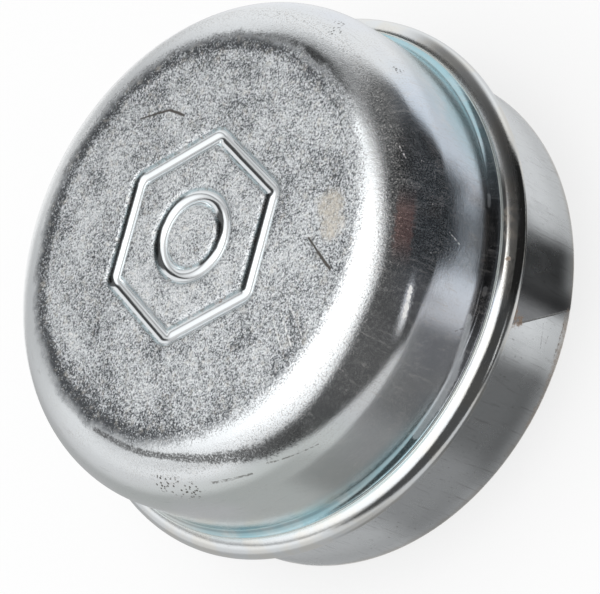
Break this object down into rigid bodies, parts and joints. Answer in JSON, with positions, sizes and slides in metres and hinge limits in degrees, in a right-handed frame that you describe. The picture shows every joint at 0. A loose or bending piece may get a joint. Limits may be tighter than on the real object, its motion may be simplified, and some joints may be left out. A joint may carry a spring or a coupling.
{
  "type": "hub grease cap",
  "caption": "Pressed steel grease cap for a wheel hub: deep round cup with a press-fit skirt, a folded stop bead and a grooved end face.",
  "frame": {"origin": "centre of the rim's plane, on the cap's axis", "axes": "+Z along the cap's axis from the open rim to the closed end face; X and Y are free, as the cup is round"},
  "size_m": [0.0662, 0.0662, 0.0312],
  "materials": {
    "zinc_steel": "zinc plated, bright on the drawn wall and frosted on the end face"
  },
  "bodies": {
    "root": {"grease_cap": "zinc_steel"}
  },
  "joints": []
}
